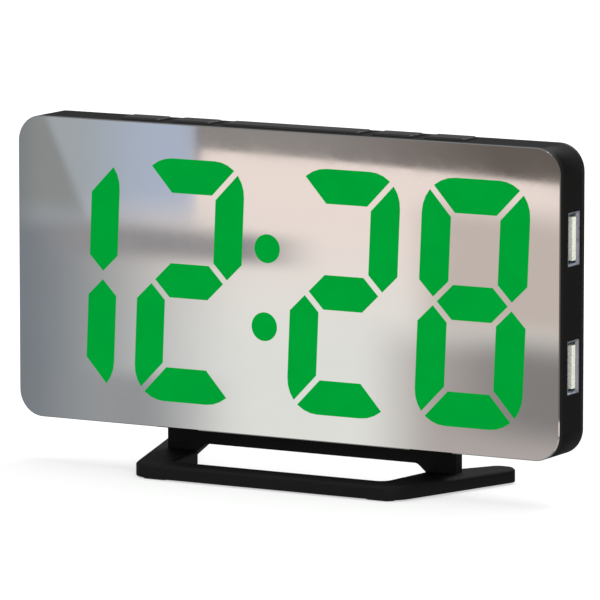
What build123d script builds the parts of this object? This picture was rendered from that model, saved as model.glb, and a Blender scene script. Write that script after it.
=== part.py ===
from build123d import *
import math
import os

os.makedirs("parts", exist_ok=True)

# Sizes in millimetres. Z points up from the table, the clock looks towards -Y.

# Mirror face and case
face_width = 160.0
face_height = 80.0
face_corner = 7.0
panel_thickness = 2.0
panel_edge_bevel = 0.25
tape_thickness = 0.3
tape_width = 3.0
tape_inset = 1.2
wall = 2.0
lip_thickness = 1.5
lip_side = 6.0
lip_top = 6.0
cover_thickness = 1.8
cover_gap = 1.68
cover_edge_bevel = 0.5
snug = 0.15

# Display
digit_drop = 1.0
digit_rim = 2.0
digit_space = 6.35
colon_space = 14.8
display_side = 3.5
display_left = 15.6
segment_width = 8.4
bar_width = 9.0
segment_gap = 1.6
digit_corner = 9.2
corner_steps = 7
digit_slant = 2.4
dot_radius = 3.75
dot_spread = 10.2
diffuser_thickness = 0.9

# Board and what is soldered to it
board_thickness = 1.0
board_edge_gap = 0.3
board_top_gap = 2.6
led_length = 1.6
led_width = 0.8
led_height = 0.6
led_spread = 0.2
chip_length = 18.0
chip_width = 7.5
chip_height = 2.3
chip_shift = -20.0
chip_rise = 0.0
lead_count = 14
lead_pitch = 1.27
lead_width = 0.42
lead_reach = 1.4
lead_thickness = 0.25
crystal_diameter = 2.0
crystal_length = 6.0
crystal_gap = 6.0
capacitor_diameter = 5.0
capacitor_height = 5.4
capacitor_base = 5.3
capacitor_base_height = 0.8
capacitor_inset = 20.0
capacitor_pitch = 8.0
power_gap = 2.25
inductor_side = 7.0
inductor_height = 4.0
inductor_inset = 40.0
buzzer_diameter = 9.6
buzzer_height = 5.0
buzzer_port = 2.0
buzzer_port_depth = 1.0
buzzer_inset = 28.0
buzzer_rise = 8.0

# Screws and bosses
boss_half = 3.0
boss_inset = 4.6
screw_shank = 1.6
screw_length = 7.0
screw_head = 4.0
screw_head_height = 1.0
pilot_play = 0.1
hole_play = 0.4
cross_length = 2.4
cross_width = 0.6
cross_depth = 0.5
post_half = 2.0
post_inset = 20.0
post_gap = 1.0
rib_height = 1.2
rib_thickness = 1.2
rib_length = 110.0
rib_side_length = 15.0

# Top buttons and their switches
button_length = 11.6
snooze_length = 40.4
button_space = 3.7
button_margin = 1.4
button_proud = 0.6
button_corner = 0.6
button_bevel = 0.4
button_play = 0.2
button_travel = 0.5
ear_thickness = 1.2
ear_reach = 1.2
ear_depth = 4.0
stem_length = 1.4
stem_width = 3.0
plunger_width = 2.6
plunger_depth = 1.4
plunger_proud = 1.1
plunger_sunk = 0.8
plunger_play = 0.1
switch_width = 6.0
switch_depth = 3.6
switch_height = 4.4

# Charging sockets
socket_mouth_tall = 12.5
socket_mouth_wide = 5.12
socket_metal = 0.3
socket_length = 14.0
socket_spread = 16.4
flare_length = 0.8
flare_growth = 0.4
flare_gap = 0.15
tongue_thick = 1.84
tongue_tall = 11.1
tongue_setback = 0.1
tongue_offset = 0.35
insulator_length = 3.0
contact_width = 1.0
contact_thickness = 0.25
contact_length = 7.5
contact_inner = 1.0
contact_outer = 3.5

# Power inlet
inlet_drop = 18.0
inlet_body = 6.6
inlet_depth = 6.0
inlet_length = 9.0
inlet_nose = 5.4
inlet_nose_gap = 0.2
inlet_bore = 3.7
inlet_bore_length = 8.0
inlet_pin = 1.3
inlet_pin_length = 7.0

# Backup cell and its door
cell_diameter = 20.0
cell_thickness = 3.2
cell_inset = 38.0
cell_rise = 8.0
cell_gap = 0.2
cell_stand = 0.7
holder_wall = 1.2
holder_gap = 0.3
spring_length = 8.0
spring_width = 2.0
spring_height = 0.8
clip_play = 0.02
clip_sweep = 40.0
door_rim = 1.3
door_disc = 1.0
door_cell_gap = 0.7
door_neck_wall = 1.3
door_play = 0.2
lug_reach = 1.2
lug_thickness = 1.0
lug_sweep = 30.0
lug_play_sweep = 8.0
lug_turn = 45.0
coin_slot_length = 14.0
coin_slot_width = 1.8
coin_slot_depth = 0.5

# Sound slots
slot_count = 5
slot_length = 8.0
slot_width = 1.0
slot_pitch = 2.0

# Stand
stand_depth = 44.0
stand_toe = 11.3
stand_front_half = 38.7
stand_splay = 0.33
stand_thickness = 3.6
stand_bar = 7.7
leg_root_width = 9.7
leg_riser_width = 13.2
leg_tip_width = 7.8
leg_end_flat = 0.5
stand_corner = 7.0
stand_inner_corner = 2.5
stand_edge_bevel = 0.6
case_lift = 12.0
riser_thickness = 3.2
riser_grip = 9.15
riser_fit = 0.3
riser_corner = 3.0
arch_foot = 2.4
arch_height = 6.0
arch_corner = 2.2
shoulder_rise = 8.0
blade_half = 22.0
blade_length = 24.0
blade_corner = 3.0
pocket_wall = 1.8
pocket_bevel = 0.6
foot_length = 8.0
foot_width = 5.0
foot_corner = 1.2
foot_thickness = 0.4
foot_front_half = 33.0
foot_rear_inset = 7.0

# Depth stations, front to back
face_y = -stand_depth / 2 + stand_toe
panel_back_y = face_y + panel_thickness
lip_front_y = panel_back_y + tape_thickness
board_front_y = lip_front_y + lip_thickness
board_back_y = board_front_y + board_thickness
socket_deep = socket_mouth_wide + 2 * socket_metal
cover_front_y = board_back_y + socket_deep + cover_gap
case_back_y = cover_front_y + cover_thickness
button_y = (panel_back_y + cover_front_y) / 2
button_depth = cover_front_y - panel_back_y - 2 * button_margin

# Height stations
case_bottom_z = case_lift
case_mid_z = case_bottom_z + face_height / 2
case_top_z = case_bottom_z + face_height
roof_z = case_top_z - wall
digit_z = case_mid_z - digit_drop
shoulder_z = case_bottom_z + shoulder_rise
blade_top_z = shoulder_z + blade_length
base_top_z = foot_thickness + stand_thickness

# Side stations
inner_half = face_width / 2 - wall
board_half = inner_half - board_edge_gap
board_top_z = roof_z - board_top_gap
board_tall = 2 * (board_top_z - case_mid_z)
opening_half = face_width / 2 - lip_side
opening_tall = face_height - 2 * lip_top
digit_height = opening_tall - 2 * digit_rim
digit_room = 2 * opening_half - display_left - display_side - segment_width
digit_width = (digit_room - 2 * digit_space - colon_space) / 3
chip_x = chip_shift
crystal_x = chip_x + chip_length / 2 + crystal_gap
capacitor_first_x = -inner_half + capacitor_inset
inductor_x = -inner_half + inductor_inset
buzzer_x = -inner_half + buzzer_inset
post_x = inner_half - post_inset
cell_x = inner_half - cell_inset
door_neck = cell_diameter / 2 + door_cell_gap + door_neck_wall
door_radius = door_neck + door_rim


def facing(y, x=0.0, z=0.0):
    return Plane(origin=(x, y, z), x_dir=(1, 0, 0), z_dir=(0, -1, 0))


def sideways(x, y=0.0, z=0.0):
    return Plane(origin=(x, y, z), x_dir=(0, 1, 0), z_dir=(1, 0, 0))


def sheet(sketch, y_front, y_back, x=0.0, z=0.0):
    return extrude(facing(y_back, x, z) * sketch, amount=y_back - y_front)


def block(x0, x1, y0, y1, z0, z1):
    middle = Pos((x0 + x1) / 2, (y0 + y1) / 2, (z0 + z1) / 2)
    return middle * Box(abs(x1 - x0), abs(y1 - y0), abs(z1 - z0))


def disc(radius, y_front, y_back, x, z):
    return sheet(Circle(radius), y_front, y_back, x, z)


def rounded(inset):
    corner = max(face_corner - inset, 0.5)
    return RectangleRounded(face_width - 2 * inset, face_height - 2 * inset, corner)


def arc_piece(inner, outer, middle_deg, sweep_deg):
    ring = Circle(outer) - Circle(inner)
    half = math.radians(sweep_deg / 2)
    middle = math.radians(middle_deg)
    reach = 2 * outer
    corners = [
        (0, 0),
        (reach * math.cos(middle - half), reach * math.sin(middle - half)),
        (reach * math.cos(middle + half), reach * math.sin(middle + half)),
    ]
    return ring & make_face(Polyline(*corners, close=True))


def group(solids):
    return Compound(children=list(solids))


def save(shape, node):
    export_step(shape, "parts/" + node + ".step")


# Display layout
def segment_outlines():
    half_w = digit_width / 2
    half_h = digit_height / 2
    wide = segment_width
    bar = bar_width
    gap = segment_gap / math.sqrt(2)
    top = [
        (-half_w + gap, half_h),
        (half_w - gap, half_h),
        (half_w - wide - gap, half_h - bar),
        (-half_w + wide + gap, half_h - bar),
    ]
    side = [
        (half_w, half_h - gap),
        (half_w, wide / 2 + gap),
        (half_w - wide / 2, gap),
        (half_w - wide, wide / 2 + gap),
        (half_w - wide, half_h - bar - gap),
    ]
    tip = half_w - wide / 2 - gap
    middle = [
        (-tip, 0),
        (-tip + bar / 2, bar / 2),
        (tip - bar / 2, bar / 2),
        (tip, 0),
        (tip - bar / 2, -bar / 2),
        (-tip + bar / 2, -bar / 2),
    ]
    return {
        "a": top,
        "b": side,
        "c": [(u, -v) for u, v in side],
        "d": [(u, -v) for u, v in top],
        "e": [(-u, -v) for u, v in side],
        "f": [(-u, v) for u, v in side],
        "g": middle,
    }


def corner_points(centre_u, centre_v, from_deg):
    points = []
    for step in range(corner_steps + 1):
        angle = math.radians(from_deg + 90.0 * step / corner_steps)
        points.append((centre_u + digit_corner * math.cos(angle), centre_v + digit_corner * math.sin(angle)))
    return points


def digit_shell():
    in_u = digit_width / 2 - digit_corner
    in_v = digit_height / 2 - digit_corner
    points = corner_points(in_u, in_v, 0.0)
    points += corner_points(-in_u, in_v, 90.0)
    points += corner_points(-in_u, -in_v, 180.0)
    points += corner_points(in_u, -in_v, 270.0)
    return make_face(Polyline(*points, close=True))


def slanted(face, centre_x):
    lean = math.tan(math.radians(digit_slant))
    points = []
    for vertex in face.outer_wire().order_edges():
        start = vertex @ 0
        points.append((start.X + start.Y * lean + centre_x, start.Y))
    return make_face(Polyline(*points, close=True))


digit_pitch = digit_width + digit_space
digit_four_x = opening_half - display_side - digit_width / 2
digit_three_x = digit_four_x - digit_pitch
digit_two_x = digit_three_x - digit_width - colon_space
digit_one_x = digit_two_x - digit_pitch
colon_x = (digit_two_x + digit_three_x) / 2

digits = [
    (digit_one_x, "bc", "bc"),
    (digit_two_x, "abcdefg", "abged"),
    (digit_three_x, "abcdefg", "abged"),
    (digit_four_x, "abcdefg", "abcdefg"),
]

led_along = {"a": (1, 0), "d": (1, 0), "g": (1, 0), "b": (0, 1), "c": (0, 1), "e": (0, 1), "f": (0, 1)}
lean = math.tan(math.radians(digit_slant))
outlines = segment_outlines()
shell_face = digit_shell()
lit_faces = []
unlit_faces = []
led_places = []
for centre_x, built, shown in digits:
    for letter in built:
        plain = make_face(Polyline(*outlines[letter], close=True)) & shell_face
        window = slanted(plain.faces()[0], centre_x)
        middle = plain.faces()[0].center()
        along = led_along[letter]
        reach = led_spread * (digit_width if along[0] else digit_height / 2)
        for step in (-1, 1):
            led_v = middle.Y + step * reach * along[1]
            led_u = middle.X + step * reach * along[0] + led_v * lean + centre_x
            led_places.append((led_u, led_v))
        if letter in shown:
            lit_faces.append(window)
        else:
            unlit_faces.append(window)
for side in (1, -1):
    dot_x = colon_x + side * dot_spread * lean
    lit_faces.append(Pos(dot_x, side * dot_spread) * Circle(dot_radius))
    led_places.append((dot_x, side * dot_spread))

diffuser_back_y = panel_back_y + diffuser_thickness
lit_segments = group([sheet(face, panel_back_y, diffuser_back_y, z=digit_z) for face in lit_faces])
unlit_segments = group([sheet(face, panel_back_y, diffuser_back_y, z=digit_z) for face in unlit_faces])
save(lit_segments, "lit_segments")
save(unlit_segments, "unlit_segments")

reflector_face = Rectangle(2 * (opening_half - snug), opening_tall - 2 * snug)
for face in lit_faces + unlit_faces:
    reflector_face = reflector_face - face
display_reflector = sheet(reflector_face, panel_back_y, board_front_y, z=digit_z)
save(display_reflector, "display_reflector")

segment_leds = group(
    [
        block(
            x - led_length / 2,
            x + led_length / 2,
            board_front_y - led_height,
            board_front_y,
            digit_z + v - led_width / 2,
            digit_z + v + led_width / 2,
        )
        for x, v in led_places
    ]
)
save(segment_leds, "segment_leds")

# Mirror panel and the tape that bonds it
mirror_panel = sheet(rounded(0), face_y, panel_back_y, z=case_mid_z)
front_edges = mirror_panel.faces().sort_by(Axis.Y)[0].edges()
mirror_panel = chamfer(front_edges, panel_edge_bevel)
save(mirror_panel, "mirror_panel")

tape_ring = rounded(tape_inset) - rounded(tape_inset + tape_width)
save(sheet(tape_ring, panel_back_y, lip_front_y, z=case_mid_z), "panel_tape")

# Top button layout
first_x = snooze_length / 2 + button_space + button_length / 2
second_x = first_x + button_length + button_space
buttons = [
    ("left_outer", -second_x, button_length),
    ("left_inner", -first_x, button_length),
    ("snooze", 0.0, snooze_length),
    ("right_inner", first_x, button_length),
    ("right_outer", second_x, button_length),
]
cap_bottom_z = roof_z - ear_thickness
cap_top_z = case_top_z + button_proud
plunger_top_z = cap_bottom_z - stem_length
switch_top_z = plunger_top_z - plunger_proud
switch_y = board_back_y + switch_depth / 2

# Clamp posts of the cover, just below the switches and as far down on the other side
post_rise = switch_top_z - switch_height - post_gap - post_half - case_mid_z

# Charging socket layout
socket_y = board_back_y + socket_mouth_wide / 2 + socket_metal
socket_places = [("upper", case_mid_z + socket_spread), ("lower", case_mid_z - socket_spread)]
socket_end_x = face_width / 2
socket_root_x = socket_end_x - socket_length
flare_wide = socket_mouth_wide + 2 * (socket_metal + flare_growth + flare_gap)
flare_tall = socket_mouth_tall + 2 * (socket_metal + flare_growth + flare_gap)

# Inlet layout
inlet_y = board_back_y + inlet_depth / 2
inlet_z = case_mid_z - inlet_drop
inlet_face_x = -face_width / 2

# Case frame
case_frame = sheet(rounded(0), panel_back_y, cover_front_y, z=case_mid_z)
case_frame -= sheet(rounded(wall), board_front_y, cover_front_y, z=case_mid_z)
case_frame -= sheet(Rectangle(2 * opening_half, opening_tall), panel_back_y, board_front_y, z=digit_z)
case_frame -= sheet(rounded(tape_inset), panel_back_y, lip_front_y, z=case_mid_z)
boss_x = face_width / 2 - boss_inset
boss_z = face_height / 2 - boss_inset
boss_places = [(sx * boss_x, case_mid_z + sz * boss_z) for sx in (-1, 1) for sz in (-1, 1)]
for x, z in boss_places:
    boss_face = Pos(x, z - case_mid_z) * Rectangle(2 * boss_half, 2 * boss_half) & rounded(wall / 2)
    case_frame += sheet(boss_face, board_front_y, cover_front_y, z=case_mid_z)
    case_frame -= disc(screw_shank / 2 + pilot_play / 2, cover_front_y - screw_length, cover_front_y, x, z)
slot_floor_z = cap_bottom_z - button_travel - button_play
for name, x, length in buttons:
    case_frame -= block(
        x - length / 2 - button_play,
        x + length / 2 + button_play,
        button_y - button_depth / 2 - button_play,
        button_y + button_depth / 2 + button_play,
        slot_floor_z,
        case_top_z + wall,
    )
for name, z in socket_places:
    case_frame -= block(
        inner_half - wall / 2,
        face_width / 2 + wall,
        socket_y - flare_wide / 2,
        socket_y + flare_wide / 2,
        z - flare_tall / 2,
        z + flare_tall / 2,
    )
inlet_hole = Circle(inlet_nose / 2 + inlet_nose_gap)
case_frame -= extrude(sideways(inlet_face_x - wall, inlet_y, inlet_z) * inlet_hole, amount=3 * wall)
save(case_frame, "case_frame")

# Main board
main_board = sheet(Rectangle(2 * board_half, board_tall), board_front_y, board_back_y, z=case_mid_z)
notch = boss_half + board_edge_gap
for x, z in boss_places:
    main_board -= block(x - notch, x + notch, board_front_y, board_back_y, z - notch, z + notch)
save(main_board, "main_board")

# Buttons, each with the plunger of the switch below it
for name, x, length in buttons:
    cap = block(
        x - length / 2,
        x + length / 2,
        button_y - button_depth / 2,
        button_y + button_depth / 2,
        cap_bottom_z,
        cap_top_z,
    )
    cap = chamfer(cap.edges().filter_by(Axis.Z), button_corner)
    cap = chamfer(cap.faces().sort_by(Axis.Z)[-1].edges(), button_bevel)
    cap += block(
        x - length / 2 - ear_reach,
        x + length / 2 + ear_reach,
        button_y - ear_depth / 2,
        button_y + ear_depth / 2,
        cap_bottom_z,
        roof_z,
    )
    cap += block(
        x - stem_width / 2,
        x + stem_width / 2,
        switch_y - plunger_depth / 2,
        button_y + ear_depth / 2,
        plunger_top_z,
        cap_bottom_z,
    )
    save(cap, "button_" + name)
    plunger = block(
        x - plunger_width / 2,
        x + plunger_width / 2,
        switch_y - plunger_depth / 2,
        switch_y + plunger_depth / 2,
        switch_top_z - plunger_sunk,
        plunger_top_z,
    )
    save(plunger, "plunger_" + name)

switch_list = []
for name, x, length in buttons:
    switch = block(
        x - switch_width / 2,
        x + switch_width / 2,
        board_back_y,
        board_back_y + switch_depth,
        switch_top_z - switch_height,
        switch_top_z,
    )
    switch -= block(
        x - plunger_width / 2 - plunger_play,
        x + plunger_width / 2 + plunger_play,
        switch_y - plunger_depth / 2 - plunger_play,
        switch_y + plunger_depth / 2 + plunger_play,
        switch_top_z - plunger_sunk - button_travel - plunger_play,
        switch_top_z,
    )
    switch_list.append(switch)
save(group(switch_list), "switch_bodies")

# Charging sockets
contact_list = []
for name, z in socket_places:
    outer = Rectangle(socket_mouth_wide + 2 * socket_metal, socket_mouth_tall + 2 * socket_metal)
    inner = Rectangle(socket_mouth_wide, socket_mouth_tall)
    neck_x = socket_end_x - flare_length
    lean_deg = math.degrees(math.atan(flare_growth / flare_length))
    shell = extrude(sideways(socket_root_x, socket_y, z) * outer, amount=neck_x - socket_root_x)
    shell += extrude(sideways(neck_x, socket_y, z) * outer, amount=flare_length, taper=-lean_deg)
    hollow_plane = sideways(socket_root_x + socket_metal, socket_y, z)
    shell -= extrude(hollow_plane * inner, amount=neck_x - socket_root_x)
    shell -= extrude(sideways(neck_x, socket_y, z) * inner, amount=flare_length, taper=-lean_deg)
    save(shell, "usb_shell_" + name)
    tongue_y = socket_y + tongue_offset
    insulator_end_x = socket_root_x + socket_metal + insulator_length
    tongue = block(
        socket_root_x + socket_metal,
        insulator_end_x,
        socket_y - socket_mouth_wide / 2,
        socket_y + socket_mouth_wide / 2,
        z - socket_mouth_tall / 2,
        z + socket_mouth_tall / 2,
    )
    tongue += block(
        socket_root_x + socket_metal,
        socket_end_x - tongue_setback,
        tongue_y - tongue_thick / 2,
        tongue_y + tongue_thick / 2,
        z - tongue_tall / 2,
        z + tongue_tall / 2,
    )
    save(tongue, "usb_tongue_" + name)
    for contact_z in (-contact_outer, -contact_inner, contact_inner, contact_outer):
        contact_list.append(
            block(
                insulator_end_x,
                insulator_end_x + contact_length,
                tongue_y - tongue_thick / 2 - contact_thickness,
                tongue_y - tongue_thick / 2,
                z + contact_z - contact_width / 2,
                z + contact_z + contact_width / 2,
            )
        )
save(group(contact_list), "usb_contacts")

# Power inlet
inlet_root_x = inlet_face_x + wall + board_edge_gap
dc_inlet = block(
    inlet_root_x,
    inlet_root_x + inlet_length,
    board_back_y,
    board_back_y + inlet_depth,
    inlet_z - inlet_body / 2,
    inlet_z + inlet_body / 2,
)
inlet_plane = sideways(inlet_face_x, inlet_y, inlet_z)
dc_inlet += extrude(inlet_plane * Circle(inlet_nose / 2), amount=wall + board_edge_gap)
dc_inlet -= extrude(inlet_plane * Circle(inlet_bore / 2), amount=inlet_bore_length)
save(dc_inlet, "dc_inlet")
pin_plane = sideways(inlet_face_x + inlet_bore_length - inlet_pin_length, inlet_y, inlet_z)
save(extrude(pin_plane * Circle(inlet_pin / 2), amount=inlet_pin_length), "dc_pin")

# Controller, crystal and power parts
chip_z = case_mid_z + chip_rise
lead_gap = lead_thickness
controller_chip = block(
    chip_x - chip_length / 2,
    chip_x + chip_length / 2,
    board_back_y + lead_gap,
    board_back_y + lead_gap + chip_height,
    chip_z - chip_width / 2,
    chip_z + chip_width / 2,
)
save(controller_chip, "controller_chip")
lead_list = []
for side in (-1, 1):
    for index in range(lead_count):
        lead_x = chip_x + (index - (lead_count - 1) / 2) * lead_pitch
        lead_list.append(
            block(
                lead_x - lead_width / 2,
                lead_x + lead_width / 2,
                board_back_y,
                board_back_y + lead_thickness,
                chip_z + side * (chip_width / 2 - lead_thickness),
                chip_z + side * (chip_width / 2 + lead_reach),
            )
        )
save(group(lead_list), "chip_leads")

crystal_y = board_back_y + crystal_diameter / 2
crystal_base_z = chip_z - crystal_length / 2
crystal = extrude(Circle(crystal_diameter / 2), amount=crystal_length)
save(Pos(crystal_x, crystal_y, crystal_base_z) * crystal, "clock_crystal")

can_list = []
base_list = []
power_z = case_mid_z - post_rise + post_half + power_gap + capacitor_base / 2
for index in range(2):
    can_x = capacitor_first_x + index * capacitor_pitch
    base_top_y = board_back_y + capacitor_base_height
    base_list.append(
        block(
            can_x - capacitor_base / 2,
            can_x + capacitor_base / 2,
            board_back_y,
            base_top_y,
            power_z - capacitor_base / 2,
            power_z + capacitor_base / 2,
        )
    )
    can_list.append(disc(capacitor_diameter / 2, base_top_y, board_back_y + capacitor_height, can_x, power_z))
save(group(can_list), "capacitor_cans")
save(group(base_list), "capacitor_bases")

power_inductor = block(
    inductor_x - inductor_side / 2,
    inductor_x + inductor_side / 2,
    board_back_y,
    board_back_y + inductor_height,
    power_z - inductor_side / 2,
    power_z + inductor_side / 2,
)
save(power_inductor, "power_inductor")

buzzer_z = case_mid_z + buzzer_rise
buzzer_back_y = board_back_y + buzzer_height
buzzer = disc(buzzer_diameter / 2, board_back_y, buzzer_back_y, buzzer_x, buzzer_z)
buzzer -= disc(buzzer_port / 2, buzzer_back_y - buzzer_port_depth, buzzer_back_y, buzzer_x, buzzer_z)
save(buzzer, "buzzer")

# Backup cell in its holder
cell_z = case_mid_z + cell_rise
lug_back_y = cover_front_y - door_play
neck_end_y = lug_back_y - lug_thickness
holder_top_y = neck_end_y - holder_gap
cell_back_y = holder_top_y + cell_stand
cell_front_y = cell_back_y - cell_thickness
holder_floor_y = cell_front_y - spring_height
holder_inner = cell_diameter / 2 + cell_gap
holder_side = 2 * (holder_inner + holder_wall)
holder = sheet(Rectangle(holder_side, holder_side), board_back_y, holder_top_y, cell_x, cell_z)
holder -= disc(holder_inner, holder_floor_y, holder_top_y, cell_x, cell_z)
save(holder, "cell_holder")
save(disc(cell_diameter / 2, cell_front_y, cell_back_y, cell_x, cell_z), "coin_cell")
spring_face = Rectangle(spring_length, spring_width) + Rectangle(spring_width, spring_length)
save(sheet(spring_face, holder_floor_y, cell_front_y, cell_x, cell_z), "cell_spring")
clip_face = arc_piece(cell_diameter / 2 + clip_play, holder_inner - clip_play, 180.0, clip_sweep)
save(sheet(clip_face, holder_floor_y, holder_top_y, cell_x, cell_z), "cell_clip")

# Back cover with its pocket for the stand
pocket_half = blade_half + riser_fit
pocket_front_y = case_back_y
pocket_back_y = case_back_y + 2 * riser_fit + riser_thickness
pocket_top_z = blade_top_z + riser_fit
back_cover = sheet(rounded(0), cover_front_y, case_back_y, z=case_mid_z)
back_edges = back_cover.faces().sort_by(Axis.Y)[-1].edges()
back_cover = chamfer(back_edges, cover_edge_bevel)
pocket = block(
    -pocket_half - pocket_wall,
    pocket_half + pocket_wall,
    case_back_y - cover_thickness / 2,
    pocket_back_y + pocket_wall,
    shoulder_z,
    pocket_top_z + pocket_wall,
)
pocket_edges = pocket.faces().sort_by(Axis.Y)[-1].edges().filter_by(Axis.Z)
pocket_edges += pocket.faces().sort_by(Axis.Y)[-1].edges().sort_by(Axis.Z)[-1:]
pocket = chamfer(pocket_edges, pocket_bevel)
back_cover += pocket
back_cover -= block(-pocket_half, pocket_half, pocket_front_y, pocket_back_y, shoulder_z - wall, pocket_top_z)
for x, z in boss_places:
    back_cover -= disc((screw_shank + hole_play) / 2, cover_front_y, case_back_y, x, z)
    back_cover -= disc((screw_head + hole_play) / 2, case_back_y - screw_head_height, case_back_y, x, z)
hole_radius = door_neck + door_play
back_cover -= disc(hole_radius, cover_front_y, case_back_y, cell_x, cell_z)
back_cover -= disc(door_radius + door_play, case_back_y - door_disc, case_back_y, cell_x, cell_z)
notch_sweep = lug_sweep + lug_play_sweep
for side in (0.0, 180.0):
    notch_outer = door_neck + lug_reach + door_play
    notch_face = arc_piece(hole_radius - door_play, notch_outer, side - lug_turn, notch_sweep)
    back_cover -= sheet(notch_face, cover_front_y, case_back_y, cell_x, cell_z)
for index in range(slot_count):
    slot_z = buzzer_z + (index - (slot_count - 1) / 2) * slot_pitch
    slot_face = Rectangle(slot_length, slot_width)
    back_cover -= sheet(slot_face, cover_front_y, case_back_y, buzzer_x, slot_z)
for sx in (-1, 1):
    for sz in (-1, 1):
        post_face = Rectangle(2 * post_half, 2 * post_half)
        back_cover += sheet(post_face, board_back_y, cover_front_y, sx * post_x, case_mid_z + sz * post_rise)
rib_front_y = cover_front_y - rib_height
rib_floor_z = case_bottom_z + wall + snug
back_cover += block(
    -rib_length / 2, rib_length / 2, rib_front_y, cover_front_y, rib_floor_z, rib_floor_z + rib_thickness
)
for side in (-1, 1):
    rib_x = side * (inner_half - snug)
    back_cover += block(
        rib_x,
        rib_x - side * rib_thickness,
        rib_front_y,
        cover_front_y,
        case_mid_z - rib_side_length / 2,
        case_mid_z + rib_side_length / 2,
    )
save(back_cover, "back_cover")

# Cover screws with a cross recess
screw_list = []
for x, z in boss_places:
    screw = disc(screw_head / 2, case_back_y - screw_head_height, case_back_y, x, z)
    screw += disc(screw_shank / 2, cover_front_y - screw_length, case_back_y - screw_head_height, x, z)
    recess = Rectangle(cross_length, cross_width) + Rectangle(cross_width, cross_length)
    screw -= sheet(recess, case_back_y - cross_depth, case_back_y, x, z)
    screw_list.append(screw)
save(group(screw_list), "cover_screws")

# Twist-lock cell door
battery_door = disc(door_radius, case_back_y - door_disc, case_back_y, cell_x, cell_z)
neck_ring = Circle(door_neck) - Circle(door_neck - door_neck_wall)
battery_door += sheet(neck_ring, neck_end_y, case_back_y - door_disc, cell_x, cell_z)
for side in (0.0, 180.0):
    lug_face = arc_piece(door_neck - door_neck_wall, door_neck + lug_reach, side, lug_sweep)
    battery_door += sheet(lug_face, neck_end_y, lug_back_y, cell_x, cell_z)
coin_slot = Rectangle(coin_slot_length, coin_slot_width)
battery_door -= sheet(coin_slot, case_back_y - coin_slot_depth, case_back_y, cell_x, cell_z)
save(battery_door, "battery_door")

# Stand: splayed base, arched riser and the blade that holds the clock
front_edge_y = -stand_depth / 2
rear_edge_y = stand_depth / 2
bar_back_y = front_edge_y + stand_bar
riser_front_y = case_back_y + riser_fit
riser_back_y = riser_front_y + riser_thickness


def outer_half(y):
    return stand_front_half + stand_splay * (y - front_edge_y)


def inner_edge(y):
    if y < riser_front_y:
        along = (y - bar_back_y) / (riser_front_y - bar_back_y)
        return outer_half(y) - leg_root_width - along * (leg_riser_width - leg_root_width)
    along = (y - riser_front_y) / (rear_edge_y - riser_front_y)
    return outer_half(y) - leg_riser_width - along * (leg_tip_width - leg_riser_width)


riser_half = inner_edge(riser_front_y) + riser_grip
arch_half = inner_edge(riser_front_y) - arch_foot

# Right half of the base, front to back round the leg, which bends outward at the riser
half_points = [
    (stand_front_half, front_edge_y),
    (outer_half(rear_edge_y), rear_edge_y),
    (inner_edge(rear_edge_y), rear_edge_y),
    (inner_edge(riser_front_y), riser_front_y),
    (inner_edge(bar_back_y), bar_back_y),
]
base_points = half_points + [(-x, y) for x, y in reversed(half_points)]
base_face = make_face(Polyline(*base_points, close=True))
base_face = fillet(base_face.vertices().group_by(Axis.Y)[-1], leg_tip_width / 2 - leg_end_flat)
base_face = fillet(base_face.vertices().group_by(Axis.Y)[0], stand_corner)
inner_corners = [
    corner
    for corner in base_face.vertices()
    if abs(corner.Y - bar_back_y) < stand_inner_corner / 2
]
base_face = fillet(inner_corners, stand_inner_corner)
stand = Pos(0, 0, foot_thickness) * extrude(base_face, amount=stand_thickness)
stand = chamfer(stand.faces().sort_by(Axis.Z)[-1].edges(), stand_edge_bevel)

# The ends of the arch slope down into the legs
riser_root_z = base_top_z - stand_thickness / 2
arch_root = inner_edge(riser_back_y)
riser_points = [
    (-riser_half, riser_root_z),
    (-arch_root, riser_root_z),
    (-arch_half, arch_height),
    (arch_half, arch_height),
    (arch_root, riser_root_z),
    (riser_half, riser_root_z),
    (riser_half, shoulder_z),
    (blade_half, shoulder_z),
    (blade_half, blade_top_z),
    (-blade_half, blade_top_z),
    (-blade_half, shoulder_z),
    (-riser_half, shoulder_z),
]
riser_face = make_face(Polyline(*riser_points, close=True))
blade_tips = riser_face.vertices().group_by(Axis.Y)[-1]
riser_face = fillet(blade_tips, blade_corner)
shoulder_tips = [
    corner
    for corner in riser_face.vertices()
    if abs(corner.Y - shoulder_z) < snug and abs(corner.X) > (blade_half + riser_half) / 2
]
riser_face = fillet(shoulder_tips, riser_corner)
arch_tips = [
    corner
    for corner in riser_face.vertices()
    if abs(corner.Y - arch_height) < snug and abs(corner.X) > arch_half / 2
]
riser_face = fillet(arch_tips, arch_corner)
stand += sheet(riser_face, riser_front_y, riser_back_y)

foot_rear_y = rear_edge_y - foot_rear_inset
foot_rear_x = (outer_half(foot_rear_y) + inner_edge(foot_rear_y)) / 2
leg_turn = 90.0 - math.degrees(math.atan(stand_splay))
foot_places = []
for side in (-1, 1):
    foot_places.append((side * foot_front_half, front_edge_y + stand_bar / 2, 0.0))
    foot_places.append((side * foot_rear_x, foot_rear_y, side * leg_turn))
foot_face = chamfer(Rectangle(foot_length, foot_width).vertices(), foot_corner)
foot_list = []
for x, y, turn in foot_places:
    foot_list.append(Pos(x, y, 0) * Rot(0, 0, turn) * extrude(foot_face, amount=foot_thickness))
save(stand, "stand")
save(group(foot_list), "stand_feet")
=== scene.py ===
import math

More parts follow.
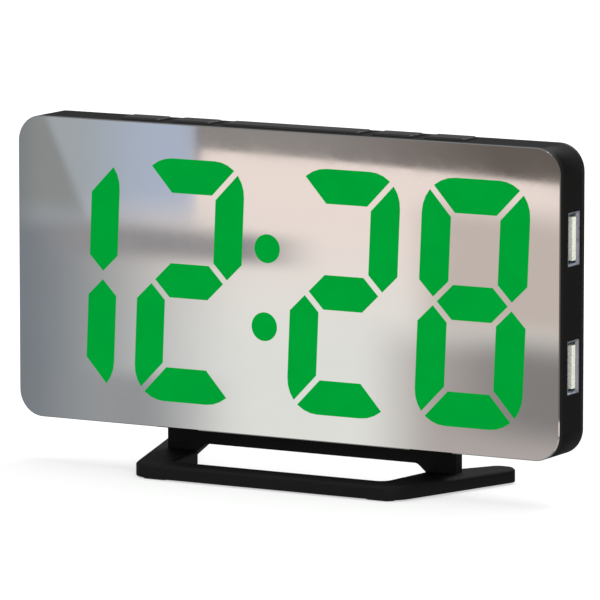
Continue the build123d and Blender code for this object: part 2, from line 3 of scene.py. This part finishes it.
import bmesh
import bpy
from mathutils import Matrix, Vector

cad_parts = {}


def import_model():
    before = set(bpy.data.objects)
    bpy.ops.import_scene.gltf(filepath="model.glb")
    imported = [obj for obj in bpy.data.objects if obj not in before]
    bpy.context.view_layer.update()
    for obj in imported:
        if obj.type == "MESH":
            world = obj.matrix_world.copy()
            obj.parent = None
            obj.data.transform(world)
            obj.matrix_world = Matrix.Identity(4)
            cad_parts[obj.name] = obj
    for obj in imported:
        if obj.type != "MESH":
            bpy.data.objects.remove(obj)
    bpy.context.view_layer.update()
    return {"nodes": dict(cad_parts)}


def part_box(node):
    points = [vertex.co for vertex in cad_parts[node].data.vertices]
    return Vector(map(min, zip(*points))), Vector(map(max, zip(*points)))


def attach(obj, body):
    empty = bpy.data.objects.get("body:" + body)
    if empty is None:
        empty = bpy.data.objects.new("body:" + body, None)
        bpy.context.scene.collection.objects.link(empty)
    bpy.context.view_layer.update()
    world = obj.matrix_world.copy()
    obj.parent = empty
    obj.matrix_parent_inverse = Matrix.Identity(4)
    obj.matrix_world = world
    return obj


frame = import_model()
nodes = frame["nodes"]
mirror_low, mirror_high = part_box("mirror_panel")
face_centre = (mirror_low + mirror_high) / 2
face_centre.y = mirror_low.y

# Camera, from the fitted view of the face
VIEW_AZIMUTH = math.radians(29.4)
VIEW_ELEVATION = math.radians(8.02)
VIEW_DISTANCE = 1.727
FOCAL_PIXELS = 6697.0
PIXELS_PER_METRE = FOCAL_PIXELS / VIEW_DISTANCE
IMAGE_SIDE = 600
SENSOR_MM = 36.0
FACE_CENTRE_PIXEL = (283.4, 285.3)
CAMERA_REACH = 40.0

# Half-mirror coat, and the digits that shine through it
MIRROR_SHARE = 0.87
FILM_THICKNESS = 0.00005
FILM_FLAT_ANGLE = math.radians(1.0)
DIGIT_GREEN = (0.0, 0.352, 0.038, 1.0)

# Highest Y of a normal that counts as facing forward, on the coated panel and on a diffuser
COATED_BELOW = -0.5
FRONT_BELOW = -0.9

# Softened edges
CASE_EDGE = 0.00012
BUTTON_EDGE = 0.00015
SMALL_EDGE = 0.0001
EDGE_SEGMENTS = 2
EDGE_ANGLE = math.radians(28.0)
FLAT_ANGLE = math.radians(0.5)
WELD_GAP = 0.000002

# Pattern scales: object space is in metres, so a scale of 1000 repeats about once a millimetre
SPARK_GRAIN = 2200.0
CLOUDS = 70.0
DRAWN_LINES = 900.0
DULL_PATCHES = 260.0
SMUDGES = 45.0
DUST = 1800.0
GLOW_PATCHES = 130.0
GLASS_THREADS = 1500.0
THREAD_STRETCH = 0.08
RUBBER_PORES = 1400.0
RESIN_SPECKS = 1900.0

# Moulded plastic: how far its speckle and its edges depart from its colour and roughness; the paler edges
# are partly wear and partly a painted highlight
CLOUD_SHARE = 0.3
SPECK_DARKEST = 0.72
SPECK_PALEST = 1.28
ROUGH_SWING = 0.06
EDGE_WEAR_AND_SHEEN_WIDTH = 0.0004
# Paler edges: partly wear, partly a painted highlight
EDGE_WEAR_AND_SHEEN_PALER = 2.4
WORN_SMOOTHER = 0.12
EDGE_WEAR_AND_SHEEN_SHARPNESS = 3.0
EDGE_WEAR_AND_SHEEN_SAMPLES = 6

# Studio floor and sky
FLOOR_SIDE = 24.0
FLOOR_TONE = (0.45, 0.45, 0.45, 1.0)
FLOOR_GLOW = 0.54
WORLD_TONE = (1.0, 1.0, 1.0, 1.0)
WORLD_STRENGTH = 0.8
WORLD_GLOSS_STRENGTH = 0.22

# Curved glowing wall that the mirror reflects: a painted reflection
SURROUND_RADIUS = 0.45
SURROUND_LOW = -0.55
SURROUND_HIGH = 0.70
SURROUND_STEPS = 96
SURROUND_FROM = math.radians(-135.0)
SURROUND_TO = math.radians(135.0)
MM_PER_METRE = 1000.0
FAR = 2000.0

# Lamps: name, place and side of the square in metres, power in watts
LAMPS = [
    ("key", (-0.9, -1.2, 1.5), 1.2, 9.0),
    ("top", (0.3, 0.3, 1.8), 1.4, 9.0),
    ("side", (0.8, -1.1, 0.5), 0.5, 4.0),
    ("rear", (0.1, 1.1, 1.5), 0.7, 14.0),
]

# Display curve: levels from 0 to 255, straight below the knee and a power above it
TOP_LEVEL = 255.0
KNEE = 0.04045
KNEE_SLOPE = 12.92
CURVE_OFFSET = 0.055
CURVE_POWER = 2.4


# Colours
def tone(red, green=None, blue=None):
    if green is None:
        return (red, red, red, 1.0)
    return (red, green, blue, 1.0)


def lighter(colour, times):
    return (colour[0] * times, colour[1] * times, colour[2] * times, 1.0)


def shown(red, green, blue):
    """Wall tone that shows in the mirror with these display levels."""
    levels = []
    for level in (red, green, blue):
        share = level / TOP_LEVEL
        linear = share / KNEE_SLOPE
        if share > KNEE:
            linear = ((share + CURVE_OFFSET) / (1.0 + CURVE_OFFSET)) ** CURVE_POWER
        levels.append(linear / MIRROR_SHARE)
    return (*levels, 1.0)


# Node patterns
class Paint:
    """One material with its shader, and the few node patterns that the finishes share."""

    def __init__(self, name):
        self.material = bpy.data.materials.new(name)
        self.material.use_nodes = True
        self.tree = self.material.node_tree
        self.tree.nodes.clear()
        self.output = self.node("ShaderNodeOutputMaterial")
        self.shader = self.node("ShaderNodeBsdfPrincipled")
        self.link(self.shader.outputs["BSDF"], self.output.inputs["Surface"])
        self.place = self.node("ShaderNodeTexCoord").outputs["Object"]

    def node(self, kind, **settings):
        made = self.tree.nodes.new(kind)
        for key, value in settings.items():
            setattr(made, key, value)
        return made

    def link(self, start, end):
        self.tree.links.new(start, end)

    def set(self, **values):
        """Set numbers and colours on the shader itself."""
        for key, value in values.items():
            self.shader.inputs[key.replace("_", " ")].default_value = value

    def feed(self, key, socket):
        """Drive one of the shader's inputs by a pattern."""
        self.link(socket, self.shader.inputs[key])

    def noise(self, scale, detail=3.0, roughness=0.55, stretch=None):
        made = self.node("ShaderNodeTexNoise")
        made.inputs["Scale"].default_value = scale
        made.inputs["Detail"].default_value = detail
        made.inputs["Roughness"].default_value = roughness
        place = self.place
        if stretch:
            mapping = self.node("ShaderNodeMapping")
            mapping.inputs["Scale"].default_value = stretch
            self.link(place, mapping.inputs["Vector"])
            place = mapping.outputs["Vector"]
        self.link(place, made.inputs["Vector"])
        return made.outputs["Fac"]

    def spread(self, socket, low=0.0, high=1.0, from_low=0.3, from_high=0.7):
        """Stretch a pattern's usual range to the range from low to high."""
        made = self.node("ShaderNodeMapRange")
        made.inputs["From Min"].default_value = from_low
        made.inputs["From Max"].default_value = from_high
        made.inputs["To Min"].default_value = low
        made.inputs["To Max"].default_value = high
        self.link(socket, made.inputs["Value"])
        return made.outputs["Result"]

    def math(self, operation, first, second):
        made = self.node("ShaderNodeMath", operation=operation)
        for index, value in enumerate((first, second)):
            if isinstance(value, (int, float)):
                made.inputs[index].default_value = value
            else:
                self.link(value, made.inputs[index])
        return made.outputs["Value"]

    def parts(self, vector):
        """The X, Y and Z of a vector."""
        made = self.node("ShaderNodeSeparateXYZ")
        self.link(vector, made.inputs["Vector"])
        return made.outputs

    def mix(self, share, first, second):
        made = self.node("ShaderNodeMix", data_type="RGBA")
        self.link(share, made.inputs["Factor"])
        for key, value in (("A", first), ("B", second)):
            socket = next(s for s in made.inputs if s.name == key and s.type == "RGBA")
            if isinstance(value, tuple):
                socket.default_value = value
            else:
                self.link(value, socket)
        return next(s for s in made.outputs if s.type == "RGBA")

    def shades(self, share, colour, darkest, palest):
        """A colour that turns darker and paler with a pattern."""
        return self.mix(share, lighter(colour, darkest), lighter(colour, palest))

    def bump(self, height, depth, strength):
        made = self.node("ShaderNodeBump")
        made.inputs["Distance"].default_value = depth
        made.inputs["Strength"].default_value = strength
        self.link(height, made.inputs["Height"])
        self.feed("Normal", made.outputs["Normal"])

    def edges(self, radius):
        """One along edges, where wear and a painted edge highlight go, zero on flat ground."""
        rounded = self.node("ShaderNodeBevel", samples=EDGE_WEAR_AND_SHEEN_SAMPLES)
        rounded.inputs["Radius"].default_value = radius
        plain = self.node("ShaderNodeNewGeometry")
        turn = self.node("ShaderNodeVectorMath", operation="DOT_PRODUCT")
        self.link(rounded.outputs["Normal"], turn.inputs[0])
        self.link(plain.outputs["True Normal"], turn.inputs[1])
        bend = self.math("SUBTRACT", 1.0, turn.outputs["Value"])
        return self.spread(self.math("MULTIPLY", bend, EDGE_WEAR_AND_SHEEN_SHARPNESS), from_low=0.05, from_high=0.6)


# Finishes
def moulded(name, colour, rough, gloss, grain=0.00002):
    """Fine textured plastic: spark grain, faint clouds, edges smoother from wear and paler from wear and a
    painted highlight.
    """
    paint = Paint(name)
    clouds = paint.noise(CLOUDS, detail=4.0)
    spark = paint.noise(SPARK_GRAIN, roughness=0.6)
    edge_wear_and_sheen = paint.edges(EDGE_WEAR_AND_SHEEN_WIDTH)
    cloud_part = paint.spread(clouds, high=CLOUD_SHARE)
    spark_part = paint.spread(spark, high=1.0 - CLOUD_SHARE)
    speckle = paint.math("ADD", cloud_part, spark_part)
    body = paint.shades(speckle, colour, SPECK_DARKEST, SPECK_PALEST)
    # Paler edges: partly wear, partly a painted edge highlight
    edge_wear_and_sheen_colour = paint.mix(paint.math("MULTIPLY", edge_wear_and_sheen, clouds), body, lighter(colour, EDGE_WEAR_AND_SHEEN_PALER))
    paint.feed("Base Color", edge_wear_and_sheen_colour)
    cloudy_rough = paint.spread(speckle, rough - ROUGH_SWING, rough + ROUGH_SWING)
    smoother = paint.math("MULTIPLY", edge_wear_and_sheen, WORN_SMOOTHER)
    paint.feed("Roughness", paint.math("SUBTRACT", cloudy_rough, smoother))
    paint.set(Specular_IOR_Level=gloss)
    paint.bump(spark, depth=grain, strength=0.6)
    return paint.material


def metal(name, colour, rough, brush=(1.0, 1.0, 1.0)):
    """Bare or plated metal with drawn lines along one axis and dull patches."""
    paint = Paint(name)
    lines = paint.noise(DRAWN_LINES, detail=4.0, roughness=0.6, stretch=brush)
    patches = paint.noise(DULL_PATCHES)
    paint.feed("Base Color", paint.shades(paint.spread(patches), colour, darkest=0.86, palest=1.0))
    paint.feed("Roughness", paint.spread(lines, rough - 0.06, rough + 0.1))
    paint.set(Metallic=1.0)
    paint.bump(lines, depth=0.000004, strength=0.5)
    return paint.material


def half_mirror():
    """Mirror coat on the front and its bevel, black painted edge on the sides and back."""
    paint = Paint("half_mirror")
    normal = paint.node("ShaderNodeTexCoord").outputs["Normal"]
    front = paint.math("LESS_THAN", paint.parts(normal)["Y"], COATED_BELOW)
    smudge = paint.noise(SMUDGES, detail=5.0, roughness=0.6)
    dust = paint.noise(DUST, detail=2.0)
    coat = paint.shades(paint.spread(smudge), tone(MIRROR_SHARE), darkest=0.985, palest=1.015)
    paint.feed("Base Color", paint.mix(front, tone(0.006), coat))
    paint.feed("Metallic", front)
    smudge_rough = paint.spread(smudge, low=0.012, high=0.05)
    clean = paint.math("ADD", smudge_rough, paint.spread(dust, high=0.012))
    edge_rough = paint.math("MULTIPLY", paint.math("SUBTRACT", 1.0, front), 0.5)
    paint.feed("Roughness", paint.math("ADD", clean, edge_rough))
    paint.set(Specular_IOR_Level=0.15)
    return paint.material


def green_light():
    """Even glow of a diffuser, a touch brighter in soft patches over its lamps."""
    paint = Paint("digit_glow")
    patches = paint.noise(GLOW_PATCHES, detail=1.0)
    glow = paint.shades(paint.spread(patches), DIGIT_GREEN, darkest=0.97, palest=1.03)
    paint.feed("Emission Color", glow)
    paint.set(Base_Color=tone(0.0), Roughness=0.8, Specular_IOR_Level=0.0, Emission_Strength=1.0)
    return paint.material


def laminate():
    """Solder mask over a faint glass weave."""
    paint = Paint("board_laminate")
    warp = paint.noise(GLASS_THREADS, detail=2.0, roughness=0.5, stretch=(1.0, 1.0, THREAD_STRETCH))
    weft = paint.noise(GLASS_THREADS, detail=2.0, roughness=0.5, stretch=(THREAD_STRETCH, 1.0, 1.0))
    weave = paint.math("MULTIPLY", warp, weft)
    threads = paint.spread(weave, from_low=0.1, from_high=0.4)
    paint.feed("Base Color", paint.mix(threads, tone(0.004, 0.05, 0.02), tone(0.01, 0.09, 0.035)))
    paint.feed("Roughness", paint.spread(weave, low=0.3, high=0.42, from_low=0.1, from_high=0.4))
    paint.bump(weave, depth=0.00001, strength=0.5)
    return paint.material


def rubber(name, colour):
    """Matt rubber with coarse pores."""
    paint = Paint(name)
    pores = paint.noise(RUBBER_PORES, detail=6.0, roughness=0.7)
    paint.feed("Base Color", paint.shades(paint.spread(pores), colour, darkest=0.7, palest=1.3))
    paint.feed("Roughness", paint.spread(pores, low=0.75, high=0.95))
    paint.set(Specular_IOR_Level=0.2)
    paint.bump(pores, depth=0.00003, strength=0.8)
    return paint.material


def resin(name, dark, pale, rough):
    """Cast resin or ceramic, speckled."""
    paint = Paint(name)
    speck = paint.noise(RESIN_SPECKS, detail=5.0, roughness=0.65)
    paint.feed("Base Color", paint.mix(paint.spread(speck), dark, pale))
    paint.feed("Roughness", paint.spread(speck, rough - 0.08, rough + 0.08))
    paint.bump(speck, depth=0.000008, strength=0.5)
    return paint.material


def named(start):
    """Nodes whose names start alike, such as the five buttons."""
    return [name for name in nodes if name.startswith(start)]


SOCKET_CREAM = tone(0.7, 0.72, 0.62)
SOCKET_STEEL = tone(0.6, 0.66, 0.77)
GREEN = green_light()
finishes = {
    moulded("stand_plastic", tone(0.0063), rough=0.55, gloss=0.13, grain=0.00008): ["stand"],
    moulded("case_plastic", tone(0.0053), rough=0.55, gloss=0.1, grain=0.00006): ["case_frame"],
    # The back cover is a paler black than the front case: painted light on the back of the clock
    moulded("cover_plastic", tone(0.011), rough=0.55, gloss=0.22, grain=0.00012): ["back_cover"],
    moulded("door_plastic", tone(0.014), rough=0.48, gloss=0.25, grain=0.00006): ["battery_door"],
    moulded("button_plastic", tone(0.016), rough=0.38, gloss=0.3, grain=0.00001): named("button_"),
    moulded("plunger_plastic", tone(0.35, 0.33, 0.3), rough=0.45, gloss=0.4): named("plunger_"),
    moulded("switch_plastic", tone(0.015), rough=0.5, gloss=0.4): ["switch_bodies"],
    moulded("reflector_plastic", tone(0.008), rough=0.6, gloss=0.3): ["display_reflector"],
    moulded("dark_diffuser", tone(0.02, 0.03, 0.022), rough=0.5, gloss=0.4): ["unlit_segments"],
    moulded("inlet_plastic", tone(0.009), rough=0.45, gloss=0.35): ["dc_inlet"],
    moulded("holder_plastic", tone(0.012), rough=0.5, gloss=0.4): ["cell_holder", "capacitor_bases"],
    moulded("socket_cream", SOCKET_CREAM, rough=0.4, gloss=0.3, grain=0.000006): named("usb_tongue_"),
    rubber("foot_rubber", tone(0.012)): ["stand_feet"],
    rubber("black_tape", tone(0.008)): ["panel_tape"],
    half_mirror(): ["mirror_panel"],
    GREEN: ["lit_segments"],
    laminate(): ["main_board"],
    resin("led_resin", tone(0.7, 0.72, 0.5), tone(0.85, 0.86, 0.7), rough=0.35): ["segment_leds"],
    resin("chip_resin", tone(0.008), tone(0.016), rough=0.55): ["controller_chip", "buzzer"],
    resin("ferrite", tone(0.02), tone(0.04), rough=0.6): ["power_inductor"],
    metal("screw_steel", tone(0.16), rough=0.34): ["cover_screws"],
    metal("tinned_leads", tone(0.75), rough=0.3): ["chip_leads", "cell_spring", "cell_clip"],
    metal("can_metal", tone(0.78), rough=0.25): ["capacitor_cans", "clock_crystal"],
    metal("socket_steel", SOCKET_STEEL, rough=0.3, brush=(0.1, 1.0, 1.0)): named("usb_shell_"),
    metal("contact_gold", tone(0.9, 0.62, 0.22), rough=0.25): ["usb_contacts", "dc_pin"],
    metal("cell_steel", tone(0.68), rough=0.26): ["coin_cell"],
}
for finish, names in finishes.items():
    for name in names:
        slots = nodes[name].data.materials
        slots.clear()
        slots.append(finish)


# Softened edges on the moulded and stamped pieces
def soften(name, width):
    piece = nodes[name]
    weld = piece.modifiers.new("weld", "WELD")
    weld.merge_threshold = WELD_GAP
    flats = piece.modifiers.new("flats", "DECIMATE")
    flats.decimate_type = "DISSOLVE"
    flats.angle_limit = FLAT_ANGLE
    bevel = piece.modifiers.new("bevel", "BEVEL")
    bevel.width = width
    bevel.segments = EDGE_SEGMENTS
    bevel.limit_method = "ANGLE"
    bevel.angle_limit = EDGE_ANGLE
    bevel.use_clamp_overlap = False
    bevel.harden_normals = True


softened = [
    (CASE_EDGE, ["case_frame", "back_cover", "stand", "battery_door"]),
    (BUTTON_EDGE, named("button_")),
    (SMALL_EDGE, named("usb_shell_") + named("usb_tongue_") + ["cover_screws"]),
]
for width, names in softened:
    for name in names:
        soften(name, width)


# Digits as they show on the mirror's front: a thin glowing film, painted light standing in for the digits'
# glow shining through the coat
def digit_film():
    shape = bmesh.new()
    shape.from_mesh(nodes["lit_segments"].data)
    bmesh.ops.remove_doubles(shape, verts=shape.verts, dist=WELD_GAP)
    hidden = [face for face in shape.faces if face.normal.y > FRONT_BELOW]
    bmesh.ops.delete(shape, geom=hidden, context="FACES")
    bmesh.ops.dissolve_limit(shape, angle_limit=FILM_FLAT_ANGLE, verts=shape.verts, edges=shape.edges)
    for vertex in shape.verts:
        vertex.co.y = mirror_low.y
    raised = bmesh.ops.extrude_face_region(shape, geom=list(shape.faces))
    for item in raised["geom"]:
        if isinstance(item, bmesh.types.BMVert):
            item.co.y -= FILM_THICKNESS
    bmesh.ops.recalc_face_normals(shape, faces=shape.faces)
    film = add_mesh("lit_image", shape, GREEN)
    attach(film, "clock")


def add_mesh(name, shape, material):
    mesh = bpy.data.meshes.new(name)
    shape.to_mesh(mesh)
    shape.free()
    made = bpy.data.objects.new(name, mesh)
    mesh.materials.append(material)
    bpy.context.scene.collection.objects.link(made)
    return made


digit_film()


# Camera at the photograph's view
def view_axes():
    flat_back = Vector((math.sin(VIEW_AZIMUTH), -math.cos(VIEW_AZIMUTH), 0.0))
    back = flat_back * math.cos(VIEW_ELEVATION) + Vector((0.0, 0.0, math.sin(VIEW_ELEVATION)))
    right = Vector((math.cos(VIEW_AZIMUTH), math.sin(VIEW_AZIMUTH), 0.0))
    return back, right, back.cross(right)


def add_camera():
    back, right, up = view_axes()
    side_step = (IMAGE_SIDE / 2 - FACE_CENTRE_PIXEL[0]) / PIXELS_PER_METRE
    drop_step = (IMAGE_SIDE / 2 - FACE_CENTRE_PIXEL[1]) / PIXELS_PER_METRE
    aim = face_centre + right * side_step - up * drop_step
    data = bpy.data.cameras.new("camera")
    data.sensor_width = SENSOR_MM
    data.lens = FOCAL_PIXELS * SENSOR_MM / IMAGE_SIDE
    data.clip_end = CAMERA_REACH
    camera = bpy.data.objects.new("camera", data)
    camera.location = face_centre + back * VIEW_DISTANCE
    camera.rotation_euler = (camera.location - aim).to_track_quat("Z", "Y").to_euler()
    bpy.context.scene.collection.objects.link(camera)
    bpy.context.scene.camera = camera


add_camera()


# Pale floor, a glowing wall painted with a soft reflection for the mirror, and soft lamps
def floor():
    shape = bmesh.new()
    bmesh.ops.create_grid(shape, x_segments=2, y_segments=2, size=FLOOR_SIDE / 2)
    paint = Paint("floor")
    paint.set(Base_Color=FLOOR_TONE, Roughness=0.9, Specular_IOR_Level=0.0)
    paint.set(Emission_Color=tone(1.0), Emission_Strength=FLOOR_GLOW)
    made = add_mesh("floor", shape, paint.material)
    made.visible_glossy = False


def surround():
    """A curved glowing wall that only the glossy surfaces see: a painted reflection in soft cool, warm and
    taupe tones.
    """
    shape = bmesh.new()
    layer = shape.loops.layers.uv.new("wall")
    columns = []
    for step in range(SURROUND_STEPS + 1):
        angle = SURROUND_FROM + (SURROUND_TO - SURROUND_FROM) * step / SURROUND_STEPS
        x = face_centre.x + SURROUND_RADIUS * math.sin(angle)
        y = face_centre.y - SURROUND_RADIUS * math.cos(angle)
        along = SURROUND_RADIUS * (angle + VIEW_AZIMUTH)
        low = shape.verts.new((x, y, SURROUND_LOW))
        high = shape.verts.new((x, y, SURROUND_HIGH))
        columns.append((along, low, high))
    for first, second in zip(columns, columns[1:]):
        face = shape.faces.new((first[1], second[1], second[2], first[2]))
        places = [(first[0], SURROUND_LOW), (second[0], SURROUND_LOW)]
        places += [(second[0], SURROUND_HIGH), (first[0], SURROUND_HIGH)]
        for loop, place in zip(face.loops, places):
            loop[layer].uv = place
        face.smooth = True
    paint = Paint("surround")
    paint.tree.nodes.remove(paint.shader)
    made = add_mesh("surround", shape, paint.material)
    made.visible_camera = False
    made.visible_diffuse = False
    made.visible_shadow = False
    made.visible_transmission = False
    made.visible_volume_scatter = False
    paint.material.cycles.emission_sampling = "NONE"
    painted_reflection(paint)


# Bare glowing wall under the patches: its tones at the foot and the top, and the heights in millimetres
# between which they blend
WALL_FOOT = shown(221, 221, 216)
WALL_TOP = shown(232, 217, 209)
WALL_BLEND = (-20.0, 25.0)

# Glowing patches of the painted reflection, some of them painted shade, from back to front: tone, then
# edges and softness in millimetres from the middle of the face
REFLECTION_PATCHES = [
    (shown(118, 124, 130), dict(right=-42.0, high=18.0, soft_side=38.0, soft_rise=8.0)),
    (shown(139, 140, 142), dict(left=-58.0, right=-30.0, high=-26.0, soft_side=20.0, soft_rise=2.5)),
    (shown(190, 178, 170), dict(left=42.0, low=-7.0, high=24.0, soft_side=9.0, soft_rise=5.0)),
    (shown(172, 164, 160), dict(left=34.0, high=-10.0, soft_side=14.0, soft_rise=7.0)),
    (shown(126, 123, 121), dict(left=56.0, low=-34.0, high=-10.0, soft_side=20.0, soft_rise=6.0)),
    (shown(166, 176, 194), dict(right=-26.5, low=16.0, soft_side=0.7, soft_rise=7.0)),
    (shown(158, 164, 168), dict(right=-50.0, low=16.0, soft_side=14.0, soft_rise=7.0)),
    (shown(136, 138, 137), dict(right=-51.6, low=14.0, soft_side=1.6, soft_rise=6.0, lean=-0.47)),
    (shown(116, 121, 125), dict(right=-77.0, soft_side=7.0, soft_rise=5.0)),
    (shown(140, 137, 138), dict(left=-62.0, right=0.0, low=5.0, high=12.5, soft_side=14.0, soft_rise=2.4)),
    (shown(138, 132, 128), dict(left=-25.0, low=33.6, soft_side=0.5, soft_rise=0.5, tilt=-0.01)),
    (shown(97, 89, 84), dict(left=34.0, low=33.6, soft_side=36.0, soft_rise=0.5, tilt=-0.01)),
    (shown(96, 96, 104), dict(left=-26.2, right=-24.6, low=28.0, soft_side=0.8, soft_rise=6.0)),
]


def painted_reflection(paint):
    """Glowing patches on the wall, a painted reflection placed in millimetres where they show on the face
    from the camera.
    """
    spot = paint.parts(paint.node("ShaderNodeUVMap", uv_map="wall").outputs["UV"])
    wall_per_mm = (VIEW_DISTANCE + SURROUND_RADIUS) / VIEW_DISTANCE / MM_PER_METRE
    level = face_centre.z - SURROUND_RADIUS * math.tan(VIEW_ELEVATION)
    slope = math.sin(VIEW_AZIMUTH) * math.tan(VIEW_ELEVATION)
    across = paint.math("DIVIDE", spot["X"], wall_per_mm * math.cos(VIEW_AZIMUTH))
    height = paint.math("DIVIDE", paint.math("SUBTRACT", spot["Y"], level), wall_per_mm)
    rise = paint.math("ADD", height, paint.math("MULTIPLY", across, slope))

    def step(socket, start, end):
        made = paint.node("ShaderNodeMapRange", interpolation_type="SMOOTHSTEP")
        made.inputs["From Min"].default_value = start
        made.inputs["From Max"].default_value = end
        paint.link(socket, made.inputs["Value"])
        return made.outputs["Result"]

    def slab(socket, low, high, soft):
        rising = step(socket, low - soft, low + soft)
        falling = step(socket, high + soft, high - soft)
        return paint.math("MULTIPLY", rising, falling)

    def reflection_patch(soft_side, soft_rise, left=-FAR, right=FAR, low=-FAR, high=FAR, lean=0.0, tilt=0.0):
        """One inside a soft-edged patch, zero outside. Lean slants its sides, tilt its top and foot."""
        sideways = paint.math("SUBTRACT", across, paint.math("MULTIPLY", rise, lean))
        upward = paint.math("SUBTRACT", rise, paint.math("MULTIPLY", across, tilt))
        breadth = slab(sideways, left, right, soft_side)
        return paint.math("MULTIPLY", breadth, slab(upward, low, high, soft_rise))

    colour = paint.mix(step(rise, *WALL_BLEND), WALL_FOOT, WALL_TOP)
    for shade, place in REFLECTION_PATCHES:
        colour = paint.mix(reflection_patch(**place), colour, shade)
    glow = paint.node("ShaderNodeEmission")
    paint.link(colour, glow.inputs["Color"])
    paint.link(glow.outputs["Emission"], paint.output.inputs["Surface"])


def lamp(name, place, side, power):
    data = bpy.data.lights.new(name, "AREA")
    data.shape = "SQUARE"
    data.size = side
    data.energy = power
    made = bpy.data.objects.new(name, data)
    made.location = place
    made.rotation_euler = (made.location - face_centre).to_track_quat("Z", "Y").to_euler()
    bpy.context.scene.collection.objects.link(made)


def world():
    """An even white sky, dimmer where glossy surfaces reflect it."""
    made = bpy.data.worlds.new("studio")
    bpy.context.scene.world = made
    made.use_nodes = True
    tree = made.node_tree
    tree.nodes.clear()
    output = tree.nodes.new("ShaderNodeOutputWorld")
    mix = tree.nodes.new("ShaderNodeMixShader")
    path = tree.nodes.new("ShaderNodeLightPath")
    tree.links.new(path.outputs["Is Glossy Ray"], mix.inputs["Fac"])
    for index, strength in ((1, WORLD_STRENGTH), (2, WORLD_GLOSS_STRENGTH)):
        sky = tree.nodes.new("ShaderNodeBackground")
        sky.inputs["Color"].default_value = WORLD_TONE
        sky.inputs["Strength"].default_value = strength
        tree.links.new(sky.outputs["Background"], mix.inputs[index])
    tree.links.new(mix.outputs["Shader"], output.inputs["Surface"])


floor()
surround()
for name, place, side, power in LAMPS:
    lamp(name, place, side, power)
world()

bpy.context.scene.view_settings.view_transform = "Standard"
